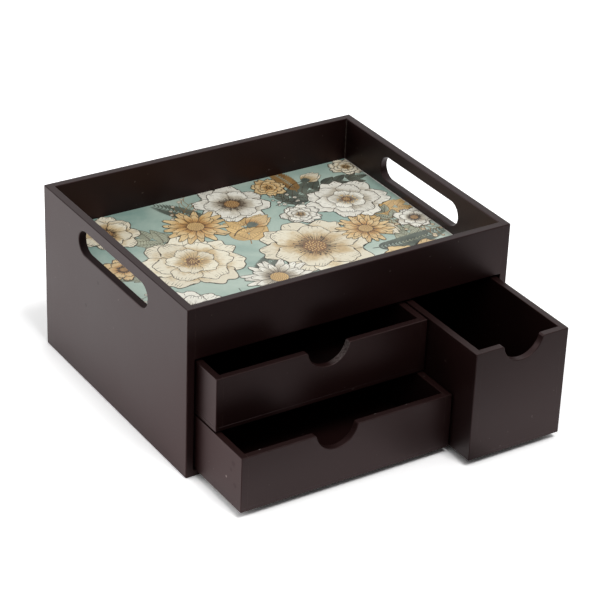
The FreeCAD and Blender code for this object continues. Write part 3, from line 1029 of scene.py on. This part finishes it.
def berries(motif, length, count, ink, dot, bend):
    """A loose spray: thin forked stalks with a round berry at each tip."""
    r = motif.random
    motif.taper(stalk_path(length, bend, 10), 0.9, 0.45, ink)
    tips = []
    for k in range(count):
        x, y, heading = on_stalk(length, bend, 0.25 + 0.75 * k / (count - 1))
        side = 1 if k % 2 else -1
        a = heading + side * r.uniform(0.35, 0.95)
        reach = length * r.uniform(0.16, 0.30)
        bow = 0.12 * side * reach
        end = (x + reach * math.cos(a), y + reach * math.sin(a))
        middle = ((x + end[0]) / 2 - bow * math.sin(a), (y + end[1]) / 2 + bow * math.cos(a))
        motif.lift(0.7)
        motif.ribbon([(x, y), middle, end], [0.6, 0.5, 0.4], ink)
        tips.append(end)
    motif.lift()
    sizes = [r.uniform(1.5, 2.3) for tip in tips]
    for (x, y), size in zip(tips, sizes):
        motif.disc(x, y, size, ink, 0.4, 12)
        motif.lift()
        motif.disc(x, y, size - 0.55, dot, r.random(), 10)
        motif.lift()


# Inks. A petal ink has a colour at foot, middle and tip, one for the lines and the number of lines across. A
# plain ink has a light and a dark colour and the scale of its patches.

PETAL_INKS = {
    "cream": ((0.40, 0.21, 0.07), (0.64, 0.50, 0.29), (0.83, 0.78, 0.62), (0.40, 0.27, 0.13), 6.0),
    "white": ((0.24, 0.18, 0.12), (0.56, 0.51, 0.40), (0.85, 0.83, 0.73), (0.30, 0.26, 0.21), 4.0),
    "apricot": ((0.38, 0.17, 0.05), (0.62, 0.37, 0.14), (0.74, 0.56, 0.30), (0.42, 0.22, 0.08), 5.0),
}
PLAIN_INKS = {
    "gold": ((0.74, 0.51, 0.22), (0.47, 0.31, 0.13), 60.0),
    "brown": ((0.30, 0.15, 0.06), (0.10, 0.05, 0.03), 160.0),
    "line": ((0.090, 0.062, 0.038), (0.018, 0.014, 0.011), 60.0),
    "ochre": ((0.34, 0.20, 0.07), (0.15, 0.08, 0.03), 60.0),
    "green": ((0.17, 0.20, 0.16), (0.045, 0.055, 0.045), 60.0),
    "sage": ((0.46, 0.47, 0.34), (0.22, 0.25, 0.19), 45.0),
}

# The layout of the print from the bottom up: name, figure, its place in millimetres, its turn in degrees and
# then what the figure itself takes

LAYOUT = [
    ("branch_left", branch, -58, 20, 118, 84, 7, 30, 7.5, "sage", "line", 0.25),
    ("branch_back", branch, 40, 62, 22, 84, 7, 28, 6.5, "green", "line", -0.22),
    ("branch_middle", branch, -14, 12, 66, 60, 5, 30, 8.0, "gold", "ochre", 0.18),
    ("branch_front", branch, -6, -60, -24, 88, 7, 29, 7.6, "gold", "ochre", 0.22),
    ("branch_right", branch, 78, 8, 12, 66, 6, 28, 7.0, "gold", "ochre", -0.15),
    ("branch_edge", branch, 104, -60, 70, 70, 6, 26, 6.4, "sage", "line", 0.2),
    ("branch_corner", branch, -92, -46, -130, 60, 6, 26, 6.4, "gold", "ochre", 0.2),
    ("branch_side", branch, -92, 2, 172, 52, 5, 26, 6.4, "sage", "line", -0.2),
    ("fern_back", fern, -26, 50, 98, 66, 19, 16, "green", 0.30),
    ("fern_middle", fern, 10, -8, 200, 62, 18, 14, "green", 0.25),
    ("fern_front", fern, -62, -48, -98, 72, 20, 15, "green", -0.30),
    ("fern_right", fern, 70, -42, -12, 74, 20, 15, "green", 0.25),
    ("fern_corner", fern, 70, 76, 78, 44, 14, 13, "ochre", 0.25),
    ("berries_middle", berries, 52, 20, 78, 56, 17, "line", "white", 0.2),
    ("berries_right", berries, 96, 6, -32, 58, 17, "ochre", "cream", -0.3),
    ("berries_front", berries, 44, -70, -62, 54, 15, "line", "gold", 0.3),
    ("berries_left", berries, -92, -10, 196, 52, 15, "line", "white", 0.3),
    ("berries_back", berries, -62, 52, 62, 60, 17, "ochre", "white", -0.2),
    ("rose_left", rose, -72, 8, 10, 47, "cream"),
    ("anemone_middle", anemone, 30, -16, 40, 50, "cream"),
    ("rose_right", rose, 100, 44, 75, 38, "white"),
    ("anemone_back", anemone, 8, 82, 20, 34, "white"),
    ("rose_front", rose, -114, -66, 20, 38, "white"),
    ("rose_corner", rose, 100, -84, 0, 40, "apricot"),
    ("anemone_corner", anemone, -112, 84, 65, 31, "cream"),
    ("bud_middle", bud, -20, 30, 25, 22, 24, "apricot"),
    ("bud_right", bud, 92, 8, -72, 16, 22, "cream"),
    ("bud_back", bud, 66, 84, 20, 20, 20, "cream"),
    ("daisy_left", daisy, -40, 60, 0, 30, "apricot"),
    ("daisy_middle", daisy, -24, -48, 15, 31, "white"),
    ("daisy_right", daisy, 84, -10, 5, 25, "apricot"),
    ("daisy_front", daisy, -54, -94, 30, 27, "white"),
    ("daisy_edge", daisy, 44, -96, 10, 24, "cream"),
    ("blossom_back", rose, 52, 94, 33, 17, "apricot"),
    ("blossom_middle", rose, 50, 38, 50, 18, "white"),
    ("blossom_right", anemone, 132, -12, 10, 18, "white"),
    ("blossom_corner", rose, 134, 98, 80, 17, "cream"),
    ("blossom_left", anemone, -128, 22, 80, 18, "apricot"),
]


def make_print():
    inks = {name: petal_ink(name + "_ink", *values) for name, values in PETAL_INKS.items()}
    inks |= {name: plain_ink(name + "_ink", *values) for name, values in PLAIN_INKS.items()}
    for name, figure, x, y, turn, *values in LAYOUT:
        motif = Motif("print_" + name, x, y, turn)
        figure(motif, *values)
        motif.build(inks)


# Filler and paint left in the back right corner of the tray

BEAD_STEPS = 40
BEAD_WIDTH, BEAD_SWELL, BEAD_FOOT = 0.55, 0.30, 0.9
BEAD_BELOW_RIM = 0.6 * MM
BEAD_COLOURS = [(0.35, (0.016, 0.008, 0.007)), (0.62, (0.034, 0.021, 0.018)), (0.78, (0.16, 0.14, 0.12))]


def bead_paint():
    s = Shader("bead_paint")
    patch = s.noise(180.0, 3.0, 0.6)
    normal = s.bump(s.noise(600.0, 2.0), 0.2, 0.1 * MM)
    rough = s.remap(patch, *SPREAD, 0.4, 0.6)
    return s.principled(Base_Color=s.ramp(patch, BEAD_COLOURS), Roughness=rough, Normal=normal)


def make_corner_bead():
    """A thin, uneven run with five sides: two in the corner and three that are hollowed between the walls."""
    r = random.Random("corner bead")
    corner_x, corner_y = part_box("right_side_panel")[0].x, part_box("back_panel")[0].y
    foot, top = SHEET_HIGH.z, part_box("back_panel")[1].z - BEAD_BELOW_RIM
    run = bmesh.new()
    rings = []
    for k in range(BEAD_STEPS + 1):
        z = foot + (top - foot) * k / BEAD_STEPS
        swell = BEAD_SWELL * math.sin(0.9 * k) * r.random()
        size = (BEAD_WIDTH + swell + (BEAD_FOOT if k == 0 else 0.0)) * MM
        section = [(0, 0), (-size, 0), (-0.55 * size, -0.18 * size), (-0.18 * size, -0.55 * size), (0, -size)]
        rings.append([run.verts.new((corner_x + x, corner_y + y, z)) for x, y in section])
    for low_ring, high_ring in zip(rings, rings[1:]):
        for i in range(5):
            j = (i + 1) % 5
            run.faces.new((low_ring[i], low_ring[j], high_ring[j], high_ring[i]))
    run.faces.new(rings[0])
    run.faces.new(rings[-1][::-1])
    bmesh.ops.recalc_face_normals(run, faces=run.faces)
    mesh = bpy.data.meshes.new("corner_bead")
    run.to_mesh(mesh)
    run.free()
    mesh.materials.append(bead_paint())
    bead = bpy.data.objects.new("corner_bead", mesh)
    scene.collection.objects.link(bead)
    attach(bead, "case")


# One seed for all boards of a body, which were painted together

SEEDS = {"case": 0.0, "upper_drawer": 1.3, "lower_drawer": 2.1, "tall_drawer": 3.4}


def body_of(name):
    return next((body for body in SEEDS if name.startswith(body)), "case")


def finish_boards():
    """Gives every node its material, and the painted boards their eased arrises."""
    slots = {part["node"]: part["material_slot"] for part in frame["record"]["subparts"]}
    joints = board_joints()
    shared = {"printed_sheet": ground_ink(), "brad_steel": bright_steel()}
    for name, node in sorted(frame["nodes"].items()):
        body, slot = body_of(name), slots[name]
        show = OPEN_JOINTS if body == "upper_drawer" else FILLED_JOINTS
        if slot in shared:
            material = shared[slot]
        elif slot == "thin_board":
            material = paint("paint_" + name, SEEDS[body], roughness=THIN_BOARD_ROUGHNESS)
        else:
            lines = joints.get(name, ())
            material = paint("paint_" + name, SEEDS[body], lines, show, marks=WEAR_AND_PAINTED_SHADE.get(name, ()))
            ease_arrises(node, lines, show == OPEN_JOINTS)
        node.data.materials.clear()
        node.data.materials.append(material)


make_camera()
make_world()
for name, values in LAMPS.items():
    make_lamp(name, **values)
make_floor()
finish_boards()
make_print()
make_corner_bead()
